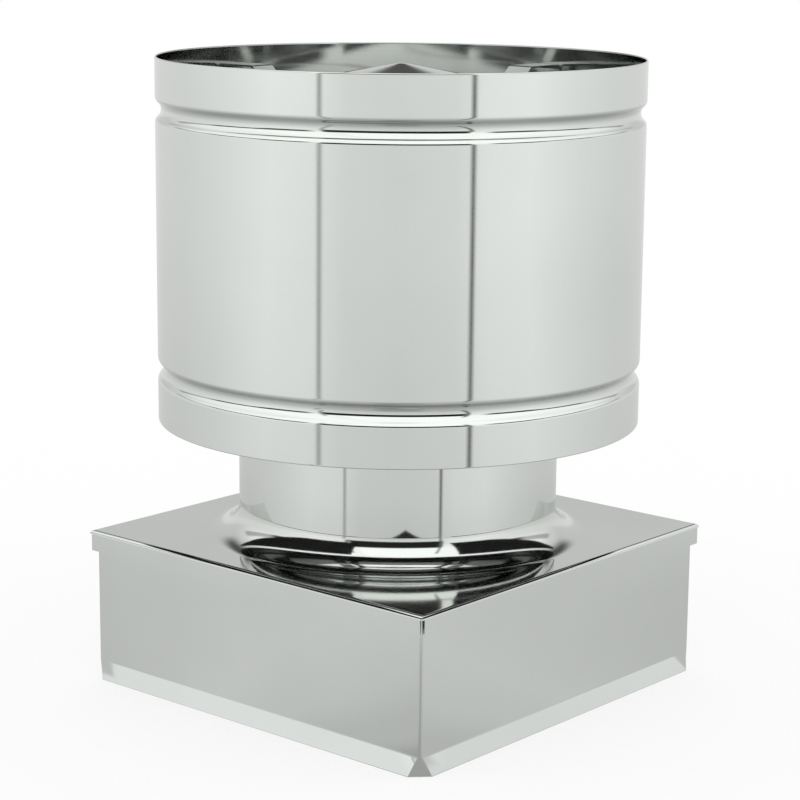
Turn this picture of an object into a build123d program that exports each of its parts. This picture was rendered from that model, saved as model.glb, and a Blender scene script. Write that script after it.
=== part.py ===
from build123d import *
import math
import os

os.makedirs("parts", exist_ok=True)

# Chimney cowl in bright stainless sheet: a wide open drum round the top of a
# round neck, on a square base that drops over the top of a chimney.
# Millimetres, +Z up, origin at the bottom centre, X and Y along the base sides.

# Sheet and fits
sheet = 0.6                # thickness of every large sheet
strip = 1.2                # thickness of the bent strips
contact_gap = 0.05         # between two faces that are welded together
slip_gap = 0.1             # between the neck and the collar it slips over

# Square base
base_height = 106.0        # floor to the flat of the top plate
plate_side = 302.0         # across the outside of the lip
lip_height = 14.0
lip_bend = 2.5             # outside radius of the lip's bend
lip_cut_back = 2.0         # notch that leaves each lip corner open
skirt_side = 295.0         # across the outside of the skirt walls
skirt_corner = 2.5         # outside radius of the skirt's corner bends
skirt_flange = 12.0        # flange turned in below the plate
band_height = 13.0         # flared band round the foot
band_flare = 3.8           # how far the band leans out at the foot
band_facet = 11.0          # corner cut back at the foot
lap_width = 15.0           # lap seam inside one corner

# Collar and neck
neck_radius = 110.0
neck_reach = 113.5         # neck top above the drum's lower edge
flare_radius = 22.0        # trumpet between the plate and the collar
collar_land = 20.0         # straight part of the collar inside the neck
neck_edge_drop = 1.0       # neck edge below the start of the straight part

# Drum
drum_radius = 165.0
drum_lift = 80.5           # plate to the drum's lower edge
drum_height = 245.5
groove_height = 17.0
groove_depth = 4.0
groove_entry = 4.0         # radius where the wall turns into a groove
groove_inset = 35.0        # drum edge to the middle of its groove
hem_height = 6.0
hem_fold = 0.8             # extra thickness of a closed hem

# Cones
cone_radius = 120.0
cone_slope = 10.5
cone_drop = 4.0            # apex of the sloping face below the drum's top
cone_nose = 20.0           # rounding of the cone tips
cone_skirt = 6.0           # short edge turned down round the rain cone
deflector_slope = 20.0
deflector_band = 5.0       # upright rim nested in the rain cone's edge

# Strips
strip_bend = 2.0           # inside radius of every strip bend
strip_angles = [0.0, 90.0, 180.0, 270.0]
bracket_width = 25.0
bracket_drop = 15.0        # neck top to the top face of the bracket arm
bracket_neck_leg = 30.0
bracket_drum_leg = 26.0
hanger_width = 20.0
hanger_drop = 12.0         # drum top to the top face of the hanger arm
hanger_leg = 13.0
hanger_reach = 11.0        # cone edge out to where the arm bends down
hanger_foot_inset = 3.0    # cone edge in to the foot of the hanger
hanger_foot = 14.0         # length of the foot along the cone

# Values that follow from the sizes above
neck_inner = neck_radius - sheet
collar_radius = neck_inner - slip_gap
collar_inner = collar_radius - sheet
collar_start = base_height + flare_radius
collar_top = collar_start + collar_land
neck_bottom = collar_start - neck_edge_drop
drum_bottom = base_height + drum_lift
drum_top = drum_bottom + drum_height
drum_inner = drum_radius - sheet
hem_inner = drum_inner - hem_fold
neck_top = drum_bottom + neck_reach
bracket_level = neck_top - bracket_drop
hanger_level = drum_top - hanger_drop
hanger_arm_end = cone_radius + hanger_reach
hanger_foot_outer = cone_radius - hanger_foot_inset
hanger_foot_inner = hanger_foot_outer - hanger_foot
cone_apex = drum_top - cone_drop
cone_edge = cone_apex - cone_radius * math.tan(math.radians(cone_slope))


def spin(outline):
    """Solid of revolution from a closed outline in the XZ plane."""
    return revolve(Plane.XZ * make_face(outline), Axis.Z)


def polygon(points):
    return Polyline(*points, close=True)


def export(shape, name):
    shape.label = name
    export_step(shape, f"parts/{name}.step")


def square(side, corner):
    return RectangleRounded(side, side, corner)


def arc_point(centre, radius, degrees):
    angle = math.radians(degrees)
    return (centre[0] + radius * math.cos(angle), centre[1] + radius * math.sin(angle))


def arc(centre, radius, start, end):
    middle = (start + end) / 2
    return ThreePointArc(
        arc_point(centre, radius, start),
        arc_point(centre, radius, middle),
        arc_point(centre, radius, end),
    )


# Top plate with its lip and the drawn collar
def make_plate():
    lip_bottom = base_height - lip_height
    middle = lip_bottom + lip_height / 2
    body = Pos(0, 0, middle) * Box(plate_side, plate_side, lip_height)
    body = fillet(body.faces().sort_by(Axis.Z)[-1].edges(), lip_bend)
    inner_side = plate_side - 2 * sheet
    hollow = Pos(0, 0, middle - sheet) * Box(inner_side, inner_side, lip_height)
    hollow = fillet(hollow.faces().sort_by(Axis.Z)[-1].edges(), lip_bend - sheet)
    body -= hollow
    slot_height = lip_height - lip_bend
    for x in (-1, 1):
        for y in (-1, 1):
            corner = Pos(x * plate_side / 2, y * plate_side / 2, lip_bottom + slot_height / 2)
            body -= corner * Box(2 * lip_cut_back, 2 * lip_cut_back, slot_height)
    mouth = collar_radius + flare_radius
    body -= Pos(0, 0, base_height) * Cylinder(mouth, 4 * sheet)
    centre = (mouth, collar_start)
    outline = [
        Line((mouth, base_height - sheet), (mouth, base_height)),
        arc(centre, flare_radius, 270, 180),
        Line((collar_radius, collar_start), (collar_radius, collar_top)),
        Line((collar_radius, collar_top), (collar_inner, collar_top)),
        Line((collar_inner, collar_top), (collar_inner, collar_start)),
        arc(centre, flare_radius + sheet, 180, 270),
    ]
    body += spin(outline)
    return body


# Skirt with its flange, flared foot band and lap seam
def chamfered_square(side, cut):
    half = side / 2
    near = half - cut
    return polygon([
        (near, -half), (half, -near), (half, near), (near, half),
        (-near, half), (-half, near), (-half, -near), (-near, -half),
    ])


def band_form(inset):
    top_side = skirt_side - 2 * inset
    foot_side = skirt_side + 2 * band_flare - 2 * inset
    top = Pos(0, 0, band_height) * square(top_side, skirt_corner - inset)
    foot = make_face(chamfered_square(foot_side, band_facet))
    return loft([foot, top], ruled=True)


def make_skirt():
    top = base_height - sheet
    wall_height = top - band_height
    outer = extrude(square(skirt_side, skirt_corner), wall_height)
    inner = extrude(square(skirt_side - 2 * sheet, skirt_corner - sheet), wall_height)
    body = Pos(0, 0, band_height) * (outer - inner)
    opening = square(skirt_side - 2 * skirt_flange, skirt_corner)
    flange = extrude(square(skirt_side, skirt_corner) - opening, sheet)
    body += Pos(0, 0, top - sheet) * flange
    body += band_form(0.0) - band_form(sheet)
    inside = skirt_side / 2 - sheet
    lap_height = wall_height - sheet
    lap = Box(lap_width, sheet, lap_height, align=(Align.MIN, Align.MAX, Align.MIN))
    body += Pos(skirt_corner - inside, inside, band_height) * lap
    return body


# Neck pipe
def make_neck():
    return spin(polygon([
        (neck_inner, neck_bottom), (neck_radius, neck_bottom),
        (neck_radius, neck_top), (neck_inner, neck_top),
    ]))


# Drum with two swaged grooves and hemmed edges
def groove_arcs(level, offset):
    """Three tangent arcs of one groove, from its lower to its upper end."""
    half = groove_height / 2
    turn = 2 * math.degrees(math.atan2(groove_depth, half))
    reach = half / math.sin(math.radians(turn))
    centre_r = drum_radius - groove_entry
    entry = groove_entry - offset
    floor = reach - groove_entry + offset
    floor_r = centre_r + reach * math.cos(math.radians(turn))
    return [
        arc((centre_r, level - half), entry, 0, turn),
        arc((floor_r, level), floor, 180 + turn, 180 - turn),
        arc((centre_r, level + half), entry, -turn, 0),
    ]


def make_drum():
    low = drum_bottom + groove_inset
    high = drum_top - groove_inset
    half = groove_height / 2
    lower_hem = drum_bottom + hem_height
    upper_hem = drum_top - hem_height
    hem_round = (drum_radius - hem_inner) / 2
    hem_middle = drum_radius - hem_round
    foot = drum_bottom + hem_round
    rim = drum_top - hem_round
    outline = [
        arc((hem_middle, foot), hem_round, 180, 360),
        Line((drum_radius, foot), (drum_radius, low - half)),
        *groove_arcs(low, 0.0),
        Line((drum_radius, low + half), (drum_radius, high - half)),
        *groove_arcs(high, 0.0),
        Line((drum_radius, high + half), (drum_radius, rim)),
        arc((hem_middle, rim), hem_round, 0, 180),
        Line((hem_inner, rim), (hem_inner, upper_hem)),
        Line((hem_inner, upper_hem), (drum_inner, upper_hem)),
        Line((drum_inner, upper_hem), (drum_inner, high + half)),
        *groove_arcs(high, sheet),
        Line((drum_inner, high - half), (drum_inner, low + half)),
        *groove_arcs(low, sheet),
        Line((drum_inner, low - half), (drum_inner, lower_hem)),
        Line((drum_inner, lower_hem), (hem_inner, lower_hem)),
        Line((hem_inner, lower_hem), (hem_inner, foot)),
    ]
    return spin(outline)


# Rain cone and the inverted cone nested in its edge
def make_rain_cone():
    slope = math.radians(cone_slope)
    drop = sheet / math.cos(slope)
    nose_z = cone_apex - cone_nose / math.cos(slope)
    nose_r = cone_nose * math.sin(slope)
    nose_top = nose_z + cone_nose * math.cos(slope)
    under = cone_nose - sheet
    under_r = under * math.sin(slope)
    under_top = nose_z + under * math.cos(slope)
    inner = cone_radius - sheet
    inner_edge = cone_apex - drop - inner * math.tan(slope)
    foot = cone_edge - cone_skirt
    crown = arc((0, nose_z), cone_nose, 90 - cone_slope, 90)
    crown_under = arc((0, nose_z), under, 90, 90 - cone_slope)
    outline = [
        crown,
        Line((0, nose_z + cone_nose), (0, nose_z + under)),
        crown_under,
        Line((under_r, under_top), (inner, inner_edge)),
        Line((inner, inner_edge), (inner, foot)),
        Line((inner, foot), (cone_radius, foot)),
        Line((cone_radius, foot), (cone_radius, cone_edge)),
        Line((cone_radius, cone_edge), (nose_r, nose_top)),
    ]
    return spin(outline)


def make_deflector():
    slope = math.radians(deflector_slope)
    outer = cone_radius - sheet - contact_gap
    inner = outer - sheet
    band_top = cone_edge - 2 * sheet
    band_bottom = band_top - deflector_band
    apex = band_bottom - outer * math.tan(slope)
    nose_z = apex + cone_nose / math.cos(slope)
    tip = cone_nose - sheet
    bend = sheet * math.tan(slope / 2)
    outline = [
        arc((0, nose_z), cone_nose, 270, 270 + deflector_slope),
        Line(
            (cone_nose * math.sin(slope), nose_z - cone_nose * math.cos(slope)),
            (outer, band_bottom),
        ),
        Line((outer, band_bottom), (outer, band_top)),
        Line((outer, band_top), (inner, band_top)),
        Line((inner, band_top), (inner, band_bottom + bend)),
        Line(
            (inner, band_bottom + bend),
            (tip * math.sin(slope), nose_z - tip * math.cos(slope)),
        ),
        arc((0, nose_z), tip, 270 + deflector_slope, 270),
        Line((0, nose_z - tip), (0, nose_z - cone_nose)),
    ]
    return spin(outline)


# Bent strips: a turned section cut to the width of the strip
def toward(point, target, distance):
    length = math.dist(point, target)
    share = distance / length
    return (
        point[0] + (target[0] - point[0]) * share,
        point[1] + (target[1] - point[1]) * share,
    )


def bent_strip(points, width):
    """Strip whose middle line follows the points, with a round bend at each corner."""
    first = toward(points[0], points[1], strip / 2)
    last = toward(points[-1], points[-2], strip / 2)
    line = FilletPolyline(first, *points[1:-1], last, radius=strip_bend + strip / 2)
    section = make_face(offset(line, strip / 2, side=Side.BOTH, kind=Kind.INTERSECTION))
    ring = revolve(Plane.XZ * section, Axis.Z)
    return ring & Pos(drum_radius / 2, 0, 0) * Box(drum_radius, width, 3 * drum_top)


def make_bracket():
    neck_leg = neck_radius + contact_gap + strip / 2
    drum_leg = drum_inner - contact_gap - strip / 2
    arm = bracket_level - strip / 2
    return bent_strip(
        [
            (neck_leg, bracket_level - bracket_neck_leg),
            (neck_leg, arm),
            (drum_leg, arm),
            (drum_leg, bracket_level + bracket_drum_leg),
        ],
        bracket_width,
    )


def make_hanger():
    slope = math.tan(math.radians(cone_slope))
    lift = (contact_gap + strip / 2) / math.cos(math.radians(cone_slope))
    leg = drum_inner - contact_gap - strip / 2
    arm = hanger_level - strip / 2
    return bent_strip(
        [
            (leg, hanger_level - hanger_leg),
            (leg, arm),
            (hanger_arm_end, arm),
            (hanger_foot_outer, cone_apex - hanger_foot_outer * slope + lift),
            (hanger_foot_inner, cone_apex - hanger_foot_inner * slope + lift),
        ],
        hanger_width,
    )


export(make_plate(), "base_top_plate")
export(make_skirt(), "base_skirt")
export(make_neck(), "neck_pipe")
export(make_drum(), "outer_drum")
export(make_rain_cone(), "rain_cone")
export(make_deflector(), "deflector_cone")

bracket = make_bracket()
hanger = make_hanger()
for number, angle in enumerate(strip_angles, start=1):
    export(Rot(0, 0, angle) * bracket, f"drum_bracket_{number}")
    export(Rot(0, 0, angle) * hanger, f"cone_hanger_{number}")
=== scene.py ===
# %% [markdown]
# A chimney cowl in bright stainless sheet
#
# A cowl like this is bent, rolled and spot-welded from thin bright sheet: a square
# base that drops over the chimney, a round neck, and a wide open drum that keeps the
# wind from blowing down the flue. Nearly everything that the eye sees on it is a
# reflection, so this lesson spends its care on two things: meshes whose surfaces turn
# smoothly, and a studio that is worth reflecting.

# %% Load the frame
import math

import bmesh
import bpy
from mathutils import Matrix, Vector


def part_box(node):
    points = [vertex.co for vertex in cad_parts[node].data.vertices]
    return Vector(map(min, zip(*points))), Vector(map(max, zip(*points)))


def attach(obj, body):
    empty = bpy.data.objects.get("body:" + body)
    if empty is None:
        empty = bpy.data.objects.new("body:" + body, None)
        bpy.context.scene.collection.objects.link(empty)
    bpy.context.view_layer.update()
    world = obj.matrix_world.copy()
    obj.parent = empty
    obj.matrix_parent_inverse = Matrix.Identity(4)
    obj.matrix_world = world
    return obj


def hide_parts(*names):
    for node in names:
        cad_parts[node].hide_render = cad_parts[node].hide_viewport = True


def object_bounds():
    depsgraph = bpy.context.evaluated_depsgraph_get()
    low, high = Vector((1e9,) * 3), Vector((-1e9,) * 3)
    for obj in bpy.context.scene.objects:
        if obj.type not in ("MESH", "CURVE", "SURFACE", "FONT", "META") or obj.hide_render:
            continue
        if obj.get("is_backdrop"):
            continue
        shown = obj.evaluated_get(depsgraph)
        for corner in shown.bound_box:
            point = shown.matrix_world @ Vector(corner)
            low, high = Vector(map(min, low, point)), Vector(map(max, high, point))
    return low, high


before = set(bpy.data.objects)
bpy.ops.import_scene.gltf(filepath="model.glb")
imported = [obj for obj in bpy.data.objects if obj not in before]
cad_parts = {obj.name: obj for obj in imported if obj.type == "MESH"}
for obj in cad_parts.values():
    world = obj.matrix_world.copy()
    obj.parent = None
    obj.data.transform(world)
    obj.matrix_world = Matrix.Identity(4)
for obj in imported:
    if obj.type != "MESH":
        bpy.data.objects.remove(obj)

scene = bpy.context.scene
cad_low, cad_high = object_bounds()
print("frame box in metres:", [round(v, 4) for v in (*cad_low, *cad_high)])

# %% [markdown]
# The sizes
#
# The frame already knows where every piece is, so the main sizes are read from its boxes. Only what
# a box can't tell, such as a sheet's thickness or the radius of a bend, is written here, in metres.

# %% Read the main sizes from the frame
mm = 0.001
sheet = 0.6 * mm

drum_low, drum_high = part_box("outer_drum")
neck_low, neck_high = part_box("neck_pipe")
plate_low, plate_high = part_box("base_top_plate")
skirt_low, skirt_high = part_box("base_skirt")
cone_low, cone_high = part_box("rain_cone")
deflector_low, deflector_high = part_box("deflector_cone")

drum_radius = drum_high.x
drum_bottom, drum_top = drum_low.z, drum_high.z
neck_radius = round(neck_high.x, 4)
neck_bottom, neck_top = neck_low.z, neck_high.z
plate_half = plate_high.x
lip_bottom, collar_top = plate_low.z, plate_high.z
plate_level = skirt_high.z + sheet
print(f"drum {2 * drum_radius / mm:.0f} mm across, neck {2 * neck_radius / mm:.0f} mm, "
      f"plate {2 * plate_half / mm:.0f} mm at a height of {plate_level / mm:.0f} mm")

# %% [markdown]
# Outlines made of arcs and straight runs
#
# A mirror shows every wrong normal. Blender averages the normals of the faces round a
# point, so where an arc runs into a long flat face, the average would tilt the whole
# flat. A short face at each end of every straight run keeps that tilt inside a third of
# a millimetre. The two helpers below make such outlines as points of radius and height.

# %% Helpers for outlines
short_face = 0.3 * mm
shortest_run = 6 * short_face


def arc_points(centre, radius, start, end, step=5.0):
    """Points along an arc, from one angle to another in degrees."""
    count = max(2, math.ceil(abs(end - start) / step))
    points = []
    for i in range(count + 1):
        angle = math.radians(start + (end - start) * i / count)
        points.append((centre[0] + radius * math.cos(angle), centre[1] + radius * math.sin(angle)))
    return points


def steady(outline, closed=True):
    """The outline with a short face at both ends of each straight run."""
    steadied = []
    count = len(outline)
    for i, point in enumerate(outline):
        steadied.append(point)
        if i == count - 1 and not closed:
            break
        after = outline[(i + 1) % count]
        length = math.dist(point, after)
        if length > shortest_run:
            for share in (short_face / length, 1 - short_face / length):
                steadied.append((
                    point[0] + (after[0] - point[0]) * share,
                    point[1] + (after[1] - point[1]) * share,
                ))
    return steadied


# %% [markdown]
# Turning an outline into a piece
#
# The drum, the neck and both cones are round, so each is one outline carried round the
# axis, as a metal spinner would see it. The screw modifier could do it, but a few lines
# of mesh code give full control over the number of steps and leave a clean mesh.

# %% Helpers that make meshes
round_steps = 256
crease_angle = math.radians(40)
axis_tolerance = 1e-7


def keep_piece(name, mesh, material, slot, *nodes):
    """Puts a finished mesh into the scene as a piece that rides on the frame."""
    mesh.shade_smooth()
    mesh.set_sharp_from_angle(angle=crease_angle)
    mesh.materials.append(material)
    piece = bpy.data.objects.new(name, mesh)
    scene.collection.objects.link(piece)
    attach(piece, "root")
    if nodes:
        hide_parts(*nodes)
    print(f"{name}: {len(mesh.polygons)} faces")
    return piece


def mesh_from(name, points, faces):
    """A mesh with doubled points joined and all faces turned outwards."""
    work = bmesh.new()
    corners = [work.verts.new(p) for p in points]
    for face in faces:
        work.faces.new([corners[i] for i in face])
    bmesh.ops.remove_doubles(work, verts=work.verts, dist=axis_tolerance)
    bmesh.ops.dissolve_degenerate(work, edges=work.edges, dist=axis_tolerance)
    bmesh.ops.recalc_face_normals(work, faces=work.faces)
    mesh = bpy.data.meshes.new(name)
    work.to_mesh(mesh)
    work.free()
    return mesh


def spun_mesh(name, outline):
    """A closed outline of (radius, height) points carried once round the Z axis."""
    points, faces = [], []
    count = len(outline)
    for step in range(round_steps):
        angle = 2 * math.pi * step / round_steps
        for radius, height in outline:
            points.append((radius * math.cos(angle), radius * math.sin(angle), height))
    for step in range(round_steps):
        here = step * count
        there = (step + 1) % round_steps * count
        for k in range(count):
            after = (k + 1) % count
            faces.append((here + k, there + k, there + after, here + after))
    return mesh_from(name, points, faces)


# %% [markdown]
# Building blocks for materials
#
# Every metal here is made of the same few nodes: noise on the object's own coordinates,
# a range that turns the noise into a useful value, a mix of two tints, and bumps. One
# small function for each keeps the finishes below as short as a recipe.

# %% Helpers for node materials
def metal_material(name):
    """A bare metal; returns it with its nodes, links, shader and object coordinates."""
    material = bpy.data.materials.new(name)
    material.use_nodes = True
    nodes, links = material.node_tree.nodes, material.node_tree.links
    shader = nodes["Principled BSDF"]
    shader.inputs["Metallic"].default_value = 1.0
    coords = nodes.new("ShaderNodeTexCoord").outputs["Object"]
    return material, nodes, links, shader, coords


def add_noise(nodes, links, coords, scale, stretch=(1, 1, 1), detail=3.0):
    """The value of a noise texture on stretched coordinates."""
    mapping = nodes.new("ShaderNodeMapping")
    mapping.inputs["Scale"].default_value = stretch
    links.new(coords, mapping.inputs["Vector"])
    noise = nodes.new("ShaderNodeTexNoise")
    noise.inputs["Scale"].default_value = scale
    noise.inputs["Detail"].default_value = detail
    links.new(mapping.outputs["Vector"], noise.inputs["Vector"])
    return noise.outputs["Fac"]


def add_range(nodes, links, value, low, high, new_low, new_high):
    """A value carried from one range to another."""
    spread = nodes.new("ShaderNodeMapRange")
    spread.inputs["From Min"].default_value = low
    spread.inputs["From Max"].default_value = high
    spread.inputs["To Min"].default_value = new_low
    spread.inputs["To Max"].default_value = new_high
    links.new(value, spread.inputs["Value"])
    return spread.outputs["Result"]


def add_mix(nodes, links, share, first, second, way="MIX"):
    """Two colours mixed by a share; each is a socket or a tuple of three numbers."""
    mix = nodes.new("ShaderNodeMix")
    mix.data_type = "RGBA"
    mix.blend_type = way
    links.new(share, mix.inputs["Factor"])
    for colour, socket in ((first, mix.inputs["A"]), (second, mix.inputs["B"])):
        if isinstance(colour, tuple):
            socket.default_value = (*colour, 1)
        else:
            links.new(colour, socket)
    return mix.outputs["Result"]


def add_bump(nodes, links, height, distance, below=None):
    """The normal of a bump, which may lie on the normal of another one below it."""
    bump = nodes.new("ShaderNodeBump")
    bump.inputs["Distance"].default_value = distance
    links.new(height, bump.inputs["Height"])
    if below is not None:
        links.new(below, bump.inputs["Normal"])
    return bump.outputs["Normal"]


# %% [markdown]
# The finish of bright sheet
#
# Bright annealed stainless is close to a mirror, but not one: the rolls leave a faint
# grain, the sheet is never perfectly flat, and hands leave dull patches. Image textures
# could show all that, but noise nodes do it at any scale and from every side. One long
# noise bends the reflections, one stretched noise draws the grain, and one soft noise
# varies how sharp the mirror is.

# %% Recipe for the sheet metal
handling_scale = 9.0
grain_scale = 60.0
wave_scale = 7.0
grain_depth = 0.0004 * mm
grain_dulling = 0.012
tint_range = (0.35, 0.7)
dull_range = (0.3, 0.75)
streak_range = (0.3, 0.7)
# The darkest tone that painted shade takes a finish's tint to.
deepest_painted_shade = (0.2, 0.2, 0.2)


def sheet_finish(name, light, dark, sharpest, dullest, grain_stretch, wave_height, painted_shade=None):
    """Bright sheet: two close tints, a range of roughness, a grain direction and a waviness.

    The last argument may be a function of (nodes, links) that returns a value from 0 to 1; it
    darkens the tint as painted shade.
    """
    material, nodes, links, shader, coords = metal_material(name)
    handling = add_noise(nodes, links, coords, handling_scale, detail=4.0)
    grain = add_noise(nodes, links, coords, grain_scale, grain_stretch, detail=5.0)
    wave = add_noise(nodes, links, coords, wave_scale, detail=1.0)

    cloud = add_range(nodes, links, handling, *tint_range, 0.0, 1.0)
    colour = add_mix(nodes, links, cloud, light, dark)
    if painted_shade:
        # Painted shade: the tint is multiplied towards the darkest tone by the given share.
        colour = add_mix(nodes, links, painted_shade(nodes, links), colour, deepest_painted_shade, "MULTIPLY")
    links.new(colour, shader.inputs["Base Color"])

    rough = nodes.new("ShaderNodeMath")
    rough.operation = "ADD"
    dull = add_range(nodes, links, handling, *dull_range, sharpest, dullest)
    streak = add_range(nodes, links, grain, *streak_range, -grain_dulling, grain_dulling)
    links.new(dull, rough.inputs[0])
    links.new(streak, rough.inputs[1])
    links.new(rough.outputs["Value"], shader.inputs["Roughness"])

    waviness = add_bump(nodes, links, wave, wave_height)
    links.new(add_bump(nodes, links, grain, grain_depth, waviness), shader.inputs["Normal"])
    return material


# %% [markdown]
# Four finishes from one recipe
#
# The rolled drum, the flat base, the satin strips and the inside of the drum differ in tint, in
# sharpness and in the direction of the grain; the inside's darker tint is painted shade. Two of
# them also carry painted shade in places: the drum is darkened where a groove faces down, and the
# inside is darkened deeper in, where little light comes in.

# %% Make the finishes
around_grain = (0.15, 0.15, 12.0)
along_grain = (0.15, 12.0, 12.0)
flank_start, flank_end = -0.1, -0.6
flank_shade_strength = 0.48
inside_fade = 60 * mm


def painted_flank_shade(nodes, links):
    """Painted shade that grows where the sheet faces down, as on the upper flank of a groove."""
    parts = nodes.new("ShaderNodeSeparateXYZ")
    links.new(nodes.new("ShaderNodeNewGeometry").outputs["Normal"], parts.inputs["Vector"])
    return add_range(nodes, links, parts.outputs["Z"], flank_start, flank_end, 0.0, flank_shade_strength)


def inside_depth_shade(nodes, links):
    """The share of painted shade: 1 deep inside the drum, falling to 0 at its upper rim."""
    parts = nodes.new("ShaderNodeSeparateXYZ")
    links.new(nodes.new("ShaderNodeTexCoord").outputs["Object"], parts.inputs["Vector"])
    return add_range(nodes, links, parts.outputs["Z"], drum_top, drum_top - inside_fade, 0.0, 1.0)


# The drum's tint carries painted shade on the flanks of its grooves that face down.
drum_finish = sheet_finish(
    "bright_sheet_rolled", light=(0.665, 0.69, 0.665), dark=(0.635, 0.66, 0.635),
    sharpest=0.045, dullest=0.085, grain_stretch=around_grain, wave_height=0.10 * mm,
    painted_shade=painted_flank_shade)
base_finish = sheet_finish(
    "bright_sheet_flat", light=(0.66, 0.685, 0.66), dark=(0.63, 0.655, 0.63),
    sharpest=0.06, dullest=0.11, grain_stretch=along_grain, wave_height=0.12 * mm)
strip_finish = sheet_finish(
    "strip_steel", light=(0.50, 0.52, 0.50), dark=(0.43, 0.45, 0.43),
    sharpest=0.10, dullest=0.20, grain_stretch=along_grain, wave_height=0.02 * mm)
# Painted shade: the inside's tints are darker than the drum's, and they darken further deep inside.
shaded_inside_finish = sheet_finish(
    "bright_sheet_painted_shade_inside", light=(0.52, 0.54, 0.52), dark=(0.45, 0.47, 0.45),
    sharpest=0.06, dullest=0.12, grain_stretch=around_grain, wave_height=0.08 * mm,
    painted_shade=inside_depth_shade)
print("finishes:", [m.name for m in (drum_finish, base_finish, strip_finish, shaded_inside_finish)])

# %% [markdown]
# The drum
#
# The drum is a rolled cylinder with two grooves swaged into it to stiffen the sheet,
# and its edges are folded back inside as hems, so no raw edge is left. Each groove is
# three arcs that run into each other: two round shoulders and a round floor. Their
# angles follow from the groove's height and depth, so the curve is smooth by itself.

# %% Draw one groove
groove_height = 17.0 * mm
groove_depth = 4.0 * mm
groove_shoulder = 4.0 * mm
groove_inset = 35.0 * mm


def groove_points(level, offset):
    """One groove from its lower to its upper end, on the face that lies offset inside."""
    half = groove_height / 2
    turn = 2 * math.degrees(math.atan2(groove_depth, half))
    reach = half / math.sin(math.radians(turn))
    centre = drum_radius - groove_shoulder
    floor_centre = centre + reach * math.cos(math.radians(turn))
    shoulder = groove_shoulder - offset
    floor_radius = reach - groove_shoulder + offset
    lower = arc_points((centre, level - half), shoulder, 0, turn)
    floor = arc_points((floor_centre, level), floor_radius, 180 + turn, 180 - turn)
    upper = arc_points((centre, level + half), shoulder, -turn, 0)
    return lower + floor[1:-1] + upper


# %% Spin the drum
hem_height = 6.0 * mm
hem_fold = 0.8 * mm
hem_step = 15

low_groove = drum_bottom + groove_inset
high_groove = drum_top - groove_inset
drum_inner = drum_radius - sheet
hem_round = (sheet + hem_fold) / 2
hem_middle = drum_radius - hem_round
hem_inner = drum_inner - hem_fold
drum_outside = groove_points(low_groove, 0.0) + groove_points(high_groove, 0.0)
drum_inside = groove_points(low_groove, sheet) + groove_points(high_groove, sheet)
foot_hem = arc_points((hem_middle, drum_bottom + hem_round), hem_round, 180, 360, hem_step)
rim_hem = arc_points((hem_middle, drum_top - hem_round), hem_round, 0, 180, hem_step)
upper_step = [(hem_inner, drum_top - hem_height), (drum_inner, drum_top - hem_height)]
lower_step = [(drum_inner, drum_bottom + hem_height), (hem_inner, drum_bottom + hem_height)]
drum_outline = (
    foot_hem + drum_outside + rim_hem + upper_step + list(reversed(drum_inside)) + lower_step
)
drum = keep_piece(
    "drum", spun_mesh("drum", steady(drum_outline)), drum_finish, "bright_sheet", "outer_drum")

# %% Paint shade on the inside of the drum
inward = -0.3


def paint_inside_shade(piece, is_inside):
    """Gives the inside finish, rougher and darkened by painted shade, to the faces that
    is_inside(face, outwards) picks.
    """
    piece.data.materials.append(shaded_inside_finish)
    count = 0
    for face in piece.data.polygons:
        outwards = face.normal.dot(Vector((face.center.x, face.center.y, 0)).normalized())
        if is_inside(face, outwards):
            face.material_index = 1
            count += 1
    # These faces carry the painted shade of the inside finish.
    print(f"{piece.name}: {count} duller faces")


paint_inside_shade(drum, lambda face, outwards: outwards < inward)

# %% [markdown]
# The neck
#
# The neck is a plain pipe slipped over the collar of the base. Its ends are cut edges with the burr
# taken off, so each end is a small half circle instead of a square edge, which is what catches the
# thin line of light there. The part of it that stands inside the drum gets the rougher inside
# finish with its painted shade too.

# %% Spin the neck
edge_round = sheet / 2
edge_step = 30


def pipe_outline(outer, bottom, top, split):
    """The section of a thin pipe with rounded ends and one more ring outside."""
    middle = outer - edge_round
    foot = arc_points((middle, bottom + edge_round), edge_round, 180, 360, edge_step)
    head = arc_points((middle, top - edge_round), edge_round, 0, 180, edge_step)
    return foot + [(outer, split)] + head


neck_outline = pipe_outline(neck_radius, neck_bottom, neck_top, drum_bottom)
neck = keep_piece(
    "neck", spun_mesh("neck", steady(neck_outline)), drum_finish, "bright_sheet", "neck_pipe")
# Painted shade on the neck's inner faces and on its part within the drum.
paint_inside_shade(neck, lambda face, outwards: outwards < inward or face.center.z > drum_bottom)

# %% [markdown]
# The two cones
#
# A shallow cone in the mouth of the drum keeps the rain out, and an inverted cone below
# it turns the flue gas outwards. Each is a cut disc drawn into a cone, so its tip is a
# little round and its sides are straight.

# %% Spin the cones
cone_radius = 120.0 * mm
cone_slope = 10.5
cone_nose = 20.0 * mm
nose_step = 2
contact_gap = 0.05 * mm
deflector_slope = 20.0
deflector_radius = cone_radius - sheet - contact_gap


def cone_outline(tip_height, edge_radius, slope, edge_end, upward):
    """A thin cone with a round tip and a short upright edge, pointing up or down."""
    way = 1 if upward else -1
    centre = tip_height - way * cone_nose
    tilt = math.radians(slope)

    def face(nose, radius):
        arc = arc_points((0, centre), nose, way * 90, way * (90 - slope), nose_step)
        side = centre + way * (nose / math.cos(tilt) - radius * math.tan(tilt))
        return arc + [(radius, side), (radius, edge_end)]

    outside = face(cone_nose, edge_radius)
    inside = face(cone_nose - sheet, edge_radius - sheet)
    return outside + list(reversed(inside))


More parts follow.
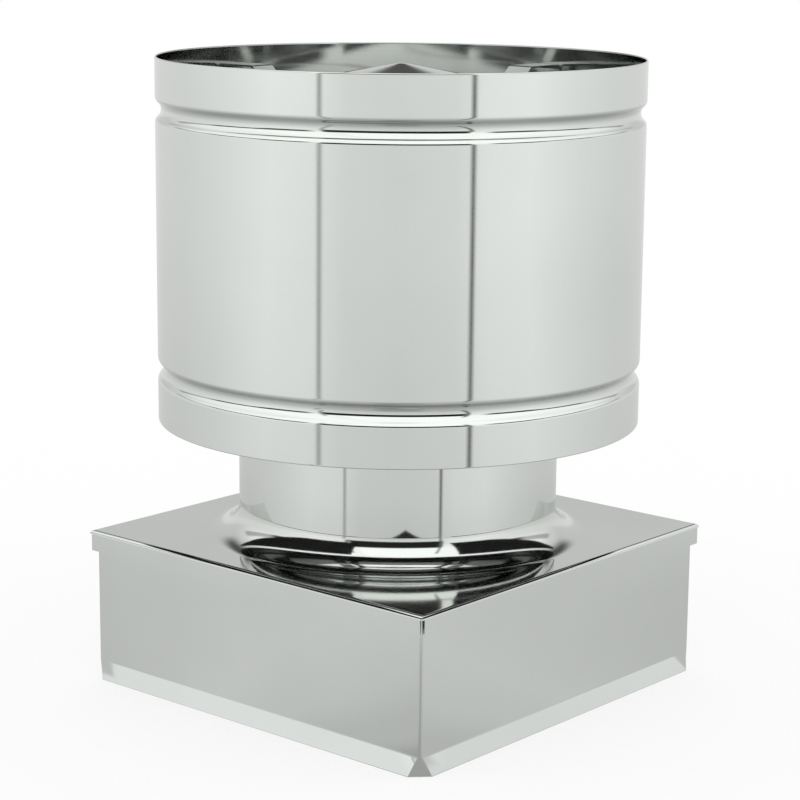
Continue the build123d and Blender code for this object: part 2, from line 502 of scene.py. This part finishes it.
rain_outline = cone_outline(cone_high.z, cone_radius, cone_slope, cone_low.z, upward=True)
keep_piece(
    "rain_cone_shell", spun_mesh("rain_cone_shell", steady(rain_outline)),
    drum_finish, "bright_sheet", "rain_cone")
deflector_outline = cone_outline(
    deflector_low.z, deflector_radius, deflector_slope, deflector_high.z, upward=False)
# The deflector takes the inside finish, with its painted shade.
keep_piece(
    "deflector_shell", spun_mesh("deflector_shell", steady(deflector_outline)),
    shaded_inside_finish, "bright_sheet", "deflector_cone")

# %% [markdown]
# The top plate and its drawn collar
#
# The plate starts as a flat square. A punch draws a trumpet-shaped collar up through its
# middle, and its four edges are folded down as a lip, with the corners notched so that
# the folds don't meet. The mesh is made of rings: round ones up the collar and over the
# trumpet, then square ones out to the fold and down the lip. Two such skins, one sheet
# thickness apart, are joined along their open edges. The trumpet gets very fine steps,
# because its reflections are the busiest of all.

# %% Helpers that join rings and skins into a sheet
def ring_face(ring, around, k):
    """The face between two rings of points, from the point k to the next one."""
    a, b = ring * around + k, ring * around + (k + 1) % around
    return (a, a + around, b + around, b)


def sheet_mesh(name, outer_points, inner_points, faces):
    """Two skins with the same faces, closed along every open edge."""
    count = len(outer_points)
    uses = {}
    for face in faces:
        for a, b in zip(face, face[1:] + face[:1]):
            uses.setdefault(frozenset((a, b)), []).append((a, b))
    both = list(faces)
    both += [tuple(i + count for i in reversed(face)) for face in faces]
    for edge in uses.values():
        if len(edge) == 1:
            a, b = edge[0]
            both.append((b, a, a + count, b + count))
    return mesh_from(name, list(outer_points) + list(inner_points), both)


# %% Lay out the plate's rings
flare_radius = 22.0 * mm
flare_step = 1.5
lip_bend = 2.5 * mm
lip_bend_step = 9
slip_gap = 0.1 * mm
collar_radius = neck_radius - sheet - slip_gap
flare_centre = (collar_radius + flare_radius, plate_level + flare_radius)
bend_centre = (plate_half - lip_bend, plate_level - lip_bend)


def plate_skin(depth):
    """(reach, height, is_round) of each ring of a skin, from the collar's top to the lip's foot."""
    collar = [(collar_radius - depth, collar_top)]
    flare = arc_points(flare_centre, flare_radius + depth, 180, 270, flare_step)
    bend = arc_points(bend_centre, lip_bend - depth, 90, 0, lip_bend_step)
    lip = [(plate_half - depth, lip_bottom)]
    rings = [(r, z, True) for r, z in steady(collar + flare, closed=False)]
    rings.append((flare[-1][0] + short_face, flare[-1][1], True))
    rings.append((bend[0][0] - short_face, bend[0][1], False))
    rings += [(r, z, False) for r, z in steady(bend + lip, closed=False)]
    return rings


def ring_point(reach, height, is_round, angle):
    """A point of a round or a square ring."""
    x, y = math.cos(math.radians(angle)), math.sin(math.radians(angle))
    stretch = reach if is_round else reach / max(abs(x), abs(y))
    return (stretch * x, stretch * y, height)


outer_rings, inner_rings = plate_skin(0.0), plate_skin(sheet)
print(f"plate: {len(outer_rings)} rings in each skin")

# %% Join the plate's rings, leaving the notches open
lip_notch = 2.0 * mm
lip_rings = 4  # the bend's end, one ring beside each end of the lip, and the lip's foot
quarter_steps = 72
notch_angle = math.degrees(math.atan2(plate_half - lip_notch, plate_half))
even_angles = [-45 + 90 * k / quarter_steps for k in range(quarter_steps)]
quarter_angles = sorted(even_angles + [notch_angle, -notch_angle])
plate_angles = [q + 90 * k for k in range(4) for q in quarter_angles]
plate_around = len(plate_angles)


def at_notch(k):
    """True for the step from the angle k to the next one if it crosses a corner's notch."""
    here, after = plate_angles[k], plate_angles[(k + 1) % plate_around]
    middle = (here + (after - here) % 360 / 2) % 90
    return abs(middle - 45) < 45 - notch_angle


lip_start = len(outer_rings) - lip_rings
plate_faces = []
for ring in range(len(outer_rings) - 1):
    for k in range(plate_around):
        if ring < lip_start or not at_notch(k):
            plate_faces.append(ring_face(ring, plate_around, k))
plate_outside = [ring_point(*ring, angle) for ring in outer_rings for angle in plate_angles]
plate_inside = [ring_point(*ring, angle) for ring in inner_rings for angle in plate_angles]
keep_piece(
    "top_plate", sheet_mesh("top_plate", plate_outside, plate_inside, plate_faces),
    base_finish, "bright_sheet", "base_top_plate")

# %% [markdown]
# The skirt
#
# Below the plate a strip is bent round four corners into a square skirt. Its top is
# flanged inwards for the welds, and a band round its foot leans out a little. Where the
# band turns a corner, the sheet is gathered into a small flat facet. The skirt is again
# made of rings, one for each height; the last ring is an octagon, and the straight lines
# to it make the facets by themselves.

# %% Helpers for the skirt's rings
corner_steps = 8
side_steps = 16


def four_sides(side, height):
    """One side of (x, y) points, turned round the axis to make all four."""
    points = []
    for quarter in range(4):
        turn = Matrix.Rotation(math.radians(90 * quarter), 3, "Z")
        points += [turn @ Vector((x, y, height)) for x, y in side]
    return points


def straight_side(half, reach):
    """Even points along one side, from one end of its straight run to just before the other."""
    return [(half, reach * (2 * k / side_steps - 1)) for k in range(side_steps)]


def skirt_ring(half, corner, height):
    """A square ring with round corners."""
    reach = half - corner
    bend = arc_points((reach, reach), corner, 0, 90, 90 / corner_steps)
    return four_sides(straight_side(half, reach) + bend[:-1], height)


def foot_ring(half, cut, height):
    """An octagon with its points where the square ring has them."""
    reach = half - cut
    cuts = [cut * k / corner_steps for k in range(corner_steps)]
    facet = [(half - c, reach + c) for c in cuts]
    return four_sides(straight_side(half, reach) + facet, height)


# %% Lay out and join the skirt's rings
skirt_half = 147.5 * mm
skirt_corner = 2.5 * mm
skirt_flange = 12.0 * mm
flange_bend = 1.2 * mm
flange_bend_step = 15
band_height = 13.0 * mm
band_flare = 3.8 * mm
band_facet = 11.0 * mm
band_crease = 0.5 * mm


def skirt_skin(depth):
    """All rings of one skin, from the flange's inner edge down to the foot."""
    top = skirt_high.z - depth
    half, corner = skirt_half - depth, skirt_corner - depth
    wall_top = skirt_high.z - flange_bend
    crease_top = band_height + band_crease
    bend = arc_points(
        (skirt_half - flange_bend, wall_top), flange_bend - depth, 90, 0, flange_bend_step)
    rings = [skirt_ring(skirt_half - skirt_flange, skirt_corner, top)]
    rings.append(skirt_ring(bend[0][0] - short_face, skirt_corner, top))
    rings += [skirt_ring(r, corner, z) for r, z in bend]
    for height in (wall_top - short_face, crease_top + short_face, crease_top):
        rings.append(skirt_ring(half, corner, height))

    square = skirt_ring(half, corner, band_height)
    octagon = foot_ring(skirt_half + band_flare - depth, band_facet, 0.0)
    for drop in (band_crease, band_crease + short_face, band_height):
        share = drop / band_height
        rings.append([s.lerp(o, share) for s, o in zip(square, octagon)])
    return rings


outer_skin, inner_skin = skirt_skin(0.0), skirt_skin(sheet)
skirt_around = len(outer_skin[0])
skirt_faces = [
    ring_face(ring, skirt_around, k)
    for ring in range(len(outer_skin) - 1) for k in range(skirt_around)
]
skirt_outside = [p for ring in outer_skin for p in ring]
skirt_inside = [p for ring in inner_skin for p in ring]
keep_piece(
    "skirt", sheet_mesh("skirt", skirt_outside, skirt_inside, skirt_faces),
    base_finish, "bright_sheet", "base_skirt")

# %% [markdown]
# The weld seams
#
# A drum, a neck or a cone is rolled from a flat blank, so each has one seam, butt-welded
# and brushed down until only a low bead is left. It is turned to the back, in line with
# the far corner of the base. The bead is its own mesh: a low arch carried along the
# section of the sheet, so it dips through the grooves as the real one does. Its finish is
# duller than the sheet, with ripples across the bead and a breath of straw-coloured heat
# tint.

# %% Finish for the seams
heat_scale = 40.0
plain_tint = (0.55, 0.55, 0.52)
straw_tint = (0.53, 0.50, 0.44)
bead_sharpest, bead_dullest = 0.22, 0.38
ripple_scale = 500.0
ripple_stretch = (0.3, 0.3, 1.0)
ripple_height = 0.05 * mm


def seam_finish(name):
    """A brushed weld bead: two tints, a soft gloss and fine ripples."""
    material, nodes, links, shader, coords = metal_material(name)
    heat = add_noise(nodes, links, coords, heat_scale, detail=4.0)
    warm = add_range(nodes, links, heat, *tint_range, 0.0, 1.0)
    links.new(add_mix(nodes, links, warm, plain_tint, straw_tint), shader.inputs["Base Color"])
    dull = add_range(nodes, links, heat, *dull_range, bead_sharpest, bead_dullest)
    links.new(dull, shader.inputs["Roughness"])
    ripples = add_noise(nodes, links, coords, ripple_scale, ripple_stretch, detail=2.0)
    links.new(add_bump(nodes, links, ripples, ripple_height), shader.inputs["Normal"])
    return material


weld_finish = seam_finish("weld_bead")
print("finish:", weld_finish.name)

# %% Helper that lays a bead along a run
seam_angle = math.radians(135)
bead_half = 1.8 * mm
bead_rise = 0.22 * mm
bead_sink = 0.02 * mm
bead_root = 0.3 * mm
bead_arch = [(-1.0, 0.0), (-0.6, 0.72), (0.0, 1.0), (0.6, 0.72), (1.0, 0.0)]
bead_section = [(s * bead_half, rise * bead_rise - bead_sink) for s, rise in bead_arch]
bead_section += [(bead_half, -bead_root), (-bead_half, -bead_root)]


def seam_mesh(name, run):
    """A bead along a run of (radius, height) points, on the outer side of the sheet."""
    out = Vector((math.cos(seam_angle), math.sin(seam_angle), 0))
    across = Vector((-out.y, out.x, 0))
    up = Vector((0, 0, 1))
    points = []
    for k, (radius, height) in enumerate(run):
        before, after = run[max(0, k - 1)], run[min(len(run) - 1, k + 1)]
        length = math.dist(before, after)
        proud = out * (after[1] - before[1]) / length + up * (before[0] - after[0]) / length
        for side, lift in bead_section:
            points.append(out * radius + up * height + proud * lift + across * side)
    count = len(bead_section)
    faces = [ring_face(k, count, i) for k in range(len(run) - 1) for i in range(count)]
    last = (len(run) - 1) * count
    faces += [tuple(range(count)), tuple(range(last, last + count))]
    return mesh_from(name, points, faces)


# %% Lay the seams
seam_end = 2.0 * mm
cone_tip = 12.0 * mm
cone_tilt = math.radians(cone_slope)
cone_peak = cone_high.z + cone_nose / math.cos(cone_tilt) - cone_nose


def on_cone(radius):
    """The point of the rain cone's straight side at a radius."""
    return (radius, cone_peak - radius * math.tan(cone_tilt))


seam_runs = {
    "drum_seam": [
        (drum_radius, drum_bottom + seam_end), *drum_outside, (drum_radius, drum_top - seam_end)],
    "neck_seam": [(neck_radius, neck_bottom + seam_end), (neck_radius, neck_top - seam_end)],
    "cone_seam": [on_cone(cone_radius - seam_end), on_cone(cone_tip)],
}
for name, run in seam_runs.items():
    keep_piece(name, seam_mesh(name, run), weld_finish, "bright_sheet")

# %% [markdown]
# The strips
#
# The strips that carry the drum and the rain cone are plain bent strips, so the frame's
# own shapes are right. They only need a finish and a small bevel, because a sheared
# strip has broken edges.

# %% Finish the strips
strip_bevel = 0.2 * mm
strip_kinds = ("drum_bracket", "cone_hanger")
strips = [node for name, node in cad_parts.items() if name.startswith(strip_kinds)]
for strip in strips:
    strip.data.materials.clear()
    strip.data.materials.append(strip_finish)
    bevel = strip.modifiers.new("broken_edges", "BEVEL")
    bevel.width = strip_bevel
    bevel.segments = 2
    bevel.limit_method = "ANGLE"
    bevel.angle_limit = crease_angle
    bevel.harden_normals = True
print("strips finished:", len(strips))

# %% [markdown]
# The camera
#
# The photograph looks at the near corner of the base from a little to its left, from
# just above the drum. A long lens keeps the drum's sides almost upright.

# %% Set the camera
camera_azimuth = math.radians(40.73)
camera_distance = 1585.8 * mm
camera_height = 529.5 * mm
camera_pitch = math.radians(11.858)
camera_roll = math.radians(0.50)
camera_lens = 105.5
camera_sensor = 36.0
camera_shift = 0.0019

towards_camera = Vector((math.sin(camera_azimuth), -math.cos(camera_azimuth), 0))
camera_right = Vector((math.cos(camera_azimuth), math.sin(camera_azimuth), 0))
camera_data = bpy.data.cameras.new("camera")
camera_data.lens = camera_lens
camera_data.sensor_width = camera_sensor
camera_data.shift_x = camera_shift
camera = bpy.data.objects.new("camera", camera_data)
scene.collection.objects.link(camera)
look = -towards_camera * math.cos(camera_pitch) - Vector((0, 0, math.sin(camera_pitch)))
place = Matrix.Translation(towards_camera * camera_distance + Vector((0, 0, camera_height)))
aim = look.to_track_quat("-Z", "Y").to_matrix().to_4x4()
camera.matrix_world = place @ aim @ Matrix.Rotation(camera_roll, 4, "Z")
scene.camera = camera
print("camera at", [round(v, 3) for v in camera.location])

# %% [markdown]
# A white room to reflect
#
# Shiny ware is photographed among white cloths, because the sheet shows whatever stands
# round it: pale walls, a bright light above the camera, the dim room behind the camera,
# and the thin dark gaps between two cloths. Each of these is a card here that only
# reflections see, so the picture itself stays white and the floor keeps its soft shadow.
# The brightness of a card is stored at its points, which keeps every edge soft.

# %% Helpers for levels and places
def ease(value, low, high):
    """0 below low, 1 above high, and a soft step between."""
    share = min(1.0, max(0.0, (value - low) / (high - low)))
    return share * share * (3 - 2 * share)


def within(value, span):
    """1 inside a span of four values (fade in from, to, fade out from, to), and 0 outside it."""
    return ease(value, span[0], span[1]) * (1 - ease(value, span[2], span[3]))


def between(value, stops):
    """The level at a value, on straight lines between (value, level) stops."""
    for (a, level_a), (b, level_b) in zip(stops, stops[1:]):
        if value <= b:
            return level_a + (level_b - level_a) * max(0.0, value - a) / (b - a)
    return stops[-1][1]


def steps(start, end, step):
    """Even values from start to end, about a step apart."""
    count = max(1, round((end - start) / step))
    return [start + (end - start) * i / count for i in range(count + 1)]


def room_point(angle, radius, height):
    """A point round the object; the angle is in degrees from the camera, to its right."""
    turn = math.radians(angle)
    flat = towards_camera * math.cos(turn) + camera_right * math.sin(turn)
    return Vector((flat.x * radius, flat.y * radius, height))


# %% Helpers that make a card
def card_material(name, fades, seen_from_above):
    """Light from the stored level, faded by the level's alpha, on one side or on both."""
    material = bpy.data.materials.new(name)
    material.use_nodes = True
    nodes, links = material.node_tree.nodes, material.node_tree.links
    nodes.clear()
    tint = nodes.new("ShaderNodeVertexColor")
    tint.layer_name = "level"
    glow = nodes.new("ShaderNodeEmission")
    links.new(tint.outputs["Color"], glow.inputs["Color"])
    surface = glow.outputs["Emission"]
    clear = nodes.new("ShaderNodeBsdfTransparent").outputs["BSDF"]

    def blend(share, first, second):
        mix = nodes.new("ShaderNodeMixShader")
        for value, socket in zip((share, first, second), mix.inputs):
            links.new(value, socket)
        return mix.outputs["Shader"]

    if fades:
        surface = blend(tint.outputs["Alpha"], clear, surface)
    if not seen_from_above:
        above = nodes.new("ShaderNodeNewGeometry").outputs["Backfacing"]
        surface = blend(above, surface, clear)
    links.new(surface, nodes.new("ShaderNodeOutputMaterial").inputs["Surface"])
    return material


def glowing_card(name, angles, others, point, level, seen_from_above=True, cover=None):
    """A grid of points over angles and a second measure, lit by level(angle, other).

    cover(angle, other) may make the card fade out, from 1 down to 0.
    """
    rows = len(others)
    grid = [(a, b) for a in angles for b in others]
    faces = [
        (i * rows + k, (i + 1) * rows + k, (i + 1) * rows + k + 1, i * rows + k + 1)
        for i in range(len(angles) - 1) for k in range(rows - 1)
    ]
    mesh = bpy.data.meshes.new(name)
    mesh.from_pydata([tuple(point(a, b)) for a, b in grid], [], faces)
    tone = mesh.color_attributes.new("level", "FLOAT_COLOR", "POINT")
    for i, (a, b) in enumerate(grid):
        grey = level(a, b)
        tone.data[i].color = (grey, grey, grey, cover(a, b) if cover else 1)
    mesh.materials.append(card_material(name, cover is not None, seen_from_above))
    card = bpy.data.objects.new(name, mesh)
    scene.collection.objects.link(card)
    card.visible_camera = False
    card.visible_diffuse = False
    card.visible_shadow = False
    card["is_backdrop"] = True
    print(f"{name}: {len(faces)} faces")


# %% [markdown]
# The walls and the lamp
#
# One large dome carries the pale walls, the dim room in front and the lamp above it. The
# cloths hang a little brighter at both sides of the camera than behind the object, so the
# round drum is not one even grey. A dim strip along both side walls and a dim field high
# behind the object darken the inside of the drum, as the far end of a real room does. All
# angles are in degrees: across from the camera, or up as a rise. Two of them are the
# start and the end of a soft step, and four are where a patch fades in and out.

# %% Set the levels of the dome
wall_stops = [
    (0, 0.96), (24, 0.99), (38, 1.12), (60, 1.17),
    (90, 1.02), (115, 0.93), (150, 0.84), (180, 0.80),
]
upper_gain, upper_up, upper_end = 0.28, (4, 25), (110, 150)
back_loss, back_up, back_start = 0.14, (3, 8), (120, 150)
strip_around = (38, 46, 130, 136)
strip_foot, strip_foot_lift, strip_foot_bend = 8, 5.5, (60, 75)
strip_loss, strip_loss_drop, strip_loss_bend = 0.93, 0.45, (95, 105)
strip_fade = 2
field_loss, field_up, field_start = 0.85, (18, 26, 50, 65), (142, 160)
room_across, room_up = (-37.5, -35.5, 31, 33), (-0.2, 1.8, 20, 23)
room_light = 0.02
lamp_across, lamp_up = (-29, -25, 33, 37), (20, 23, 70, 76)
lamp_light = 1.45


def wall_level(side, rise):
    """The light of the walls at an angle to either side of the camera and a rise, in degrees."""
    wall = between(side, wall_stops)
    wall += upper_gain * ease(rise, *upper_up) * (1 - ease(side, *upper_end))
    wall *= 1 - back_loss * ease(rise, *back_up) * ease(side, *back_start)
    foot = strip_foot + strip_foot_lift * ease(side, *strip_foot_bend)
    loss = strip_loss - strip_loss_drop * ease(side, *strip_loss_bend)
    strip_up = (foot, foot + strip_fade, room_up[2], room_up[3])
    wall *= 1 - loss * within(side, strip_around) * within(rise, strip_up)
    wall *= 1 - field_loss * within(rise, field_up) * ease(side, *field_start)
    return wall


def dome_level(angle, rise):
    """The light of the whole dome: the walls, the lamp over them and the dim room."""
    wall = wall_level(abs(angle), rise)
    in_lamp = within(angle, lamp_across) * within(rise, lamp_up)
    in_room = within(angle, room_across) * within(rise, room_up)
    level = wall + (lamp_light - wall) * in_lamp
    return level + (room_light - level) * in_room


# %% Hang the dome
dome_radius = 7.0
dome_middle = 120.0 * mm
dome_angles = steps(-180, 180, 1.5)
dome_rises = steps(-3, 90, 1.0)


def dome_point(angle, rise):
    """A point of the dome at an angle and a rise in degrees."""
    lift = math.radians(rise)
    height = dome_middle + dome_radius * math.sin(lift)
    return room_point(angle, dome_radius * math.cos(lift), height)


glowing_card("white_dome", dome_angles, dome_rises, dome_point, dome_level)

# %% [markdown]
# The reflected floor
#
# A flat card close over the floor gives the floor that the metal reflects. It grows darker
# towards the object, which stands in its own shade there, and a little more so close in
# front of it.

# %% Lay the floor's card
floor_glow_height = 0.3 * mm
floor_stops = [
    (0.1, 0.66), (0.25, 0.69), (0.4, 0.71), (0.55, 0.76),
    (0.7, 0.83), (1.2, 0.89), (3.0, 0.97), (7.0, 1.0),
]
floor_reaches = [
    0.1, 0.16, 0.22, 0.3, 0.4, 0.44, 0.47, 0.5, 0.6, 0.7, 1.0, 1.5, 2.2, 3.0, 5.0, 7.1]
front_shade = 0.75
front_reach = 0.5
front_fade = 0.06
front_sides = (6, 14)
floor_angles = steps(-180, 180, 3)


def floor_level(angle, reach):
    """The reflected floor: darker near the object and most of all close in front of it."""
    side = abs(angle)
    near = 1 - ease(reach, front_reach - front_fade, front_reach)
    in_front = near * (1 - ease(side, *front_sides))
    shade = 1 - (1 - front_shade) * in_front
    return between(side, wall_stops) * between(reach, floor_stops) * shade


glowing_card(
    "floor_glow", floor_angles, floor_reaches,
    lambda angle, reach: room_point(angle, reach, floor_glow_height), floor_level)

# %% [markdown]
# The gaps between the cloths
#
# Two gaps between the front cloths draw the two fine upright lines on the drum and the
# neck. They could be hard-edged slots, but a cloth's edge is soft, so these cards fade out
# to both sides. The left cloth has a step at its knee, so that its line on the neck lies
# further out than its line on the drum.

# %% Add the gaps
gap_radius = 0.45
gap_top = 0.42
gap_knee = 0.115
gap_half = 1.6
left_gap_level, right_gap_level = 0.42, 0.14
gaps = [
    ("left_upper", -30.0, gap_knee, gap_top, left_gap_level),
    ("left_lower", -33.2, 0.0, gap_knee, left_gap_level),
    ("right", 26.8, 0.0, gap_top, right_gap_level),
]
for part, middle, low, high, gap_level in gaps:
    gap_angles = steps(middle - gap_half, middle + gap_half, gap_half / 2)
    glowing_card(
        f"cloth_gap_{part}", gap_angles, [low, high],
        lambda angle, height: room_point(angle, gap_radius, height),
        lambda angle, height: gap_level,
        cover=lambda angle, height: 1 - abs(angle - middle) / gap_half)

# %% [markdown]
# Dark cards of painted shade beside the drum
#
# Under the drum it is dark, so the trumpet of the collar shows a dark ring. A room of glowing cards
# doesn't shade that place by itself, so two dark cards, like a photographer's black flags, put
# painted shade there: they stand clear of the drum to its left and right, fade out at their far
# edge and are seen only from below.

# %% Add the flags
flag_sides = [("left", -110, -24), ("right", 33, 110)]
flag_step = 0.5
flag_clearance = 8 * mm
flag_inner = drum_radius + flag_clearance
flag_stops = [(20, 0.56), (60, 0.53), (80, 0.28), (100, 0.20), (110, 0.18)]
under_drum_shade_level = 0.01
flag_fade = 0.86
flag_shares = [0.0, flag_fade, (1 + flag_fade) / 2, 1.0]


def flag_point(angle, share):
    """A point of a flag, from its inner edge out to where it ends at this angle."""
    reach = flag_inner + (between(abs(angle), flag_stops) - flag_inner) * share
    return room_point(angle, reach, drum_bottom)


# Painted shade: these dark cards stand for the shade under the drum wherever it is reflected.
for side, start, end in flag_sides:
    glowing_card(
        f"flag_{side}", steps(start, end, flag_step), flag_shares, flag_point,
        lambda angle, share: under_drum_shade_level, seen_from_above=False,
        cover=lambda angle, share: 1 - ease(share, flag_fade, 1))

# %% [markdown]
# The floor and the light
#
# The floor is plain white paper. The world is an even white, which lights the floor and
# stands for the backdrop, so that paper out of the object's shade is as white as the
# backdrop and only the soft shadow under the base shows.

# %% Lay the floor
floor_half = 6.0
floor_corners = [(-1, -1), (1, -1), (1, 1), (-1, 1)]
floor_mesh = bpy.data.meshes.new("floor")
floor_points = [(x * floor_half, y * floor_half, 0) for x, y in floor_corners]
floor_mesh.from_pydata(floor_points, [], [(0, 1, 2, 3)])
floor = bpy.data.objects.new("floor", floor_mesh)
scene.collection.objects.link(floor)
floor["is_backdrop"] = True

# %% Paper for the floor
paper_grey = (0.82, 0.82, 0.82)
paper_white = (1.0, 1.0, 1.0)
paper_glow = 0.75

paper = bpy.data.materials.new("floor_paper")
paper.use_nodes = True
nodes, links = paper.node_tree.nodes, paper.node_tree.links
matt = nodes["Principled BSDF"]
matt.inputs["Roughness"].default_value = 1.0
matt.inputs["Specular IOR Level"].default_value = 0.0
seen = nodes.new("ShaderNodeLightPath").outputs["Is Camera Ray"]
links.new(add_mix(nodes, links, seen, paper_grey, paper_white), matt.inputs["Base Color"])
glow = nodes.new("ShaderNodeEmission")
lift = nodes.new("ShaderNodeMath")
lift.operation = "MULTIPLY"
lift.inputs[1].default_value = paper_glow
links.new(seen, lift.inputs[0])
blend = nodes.new("ShaderNodeMixShader")
links.new(lift.outputs["Value"], blend.inputs["Fac"])
links.new(matt.outputs["BSDF"], blend.inputs[1])
links.new(glow.outputs["Emission"], blend.inputs[2])
links.new(blend.outputs["Shader"], nodes["Material Output"].inputs["Surface"])
floor_mesh.materials.append(paper)
print("floor:", 2 * floor_half, "m across")

# %% Light the scene
world = bpy.data.worlds.new("white_world")
scene.world = world
world.use_nodes = True
background = world.node_tree.nodes["Background"]
background.inputs["Color"].default_value = (1, 1, 1, 1)
background.inputs["Strength"].default_value = 1.0
scene.view_settings.view_transform = "Standard"
print("world:", world.name)

# %% [markdown]
# Closing
#
# The last cell prints how far the box of the finished model reaches past the box of the frame, to
# show how much dressing the object has changed its size.

# %% Write the sizes and finish
new_low, new_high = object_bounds()
growth_down = max(a - b for a, b in zip(cad_low, new_low))
growth_up = max(b - a for a, b in zip(cad_high, new_high))
print(f"largest growth over the frame's box: {max(growth_down, growth_up) / mm:.3f} mm")
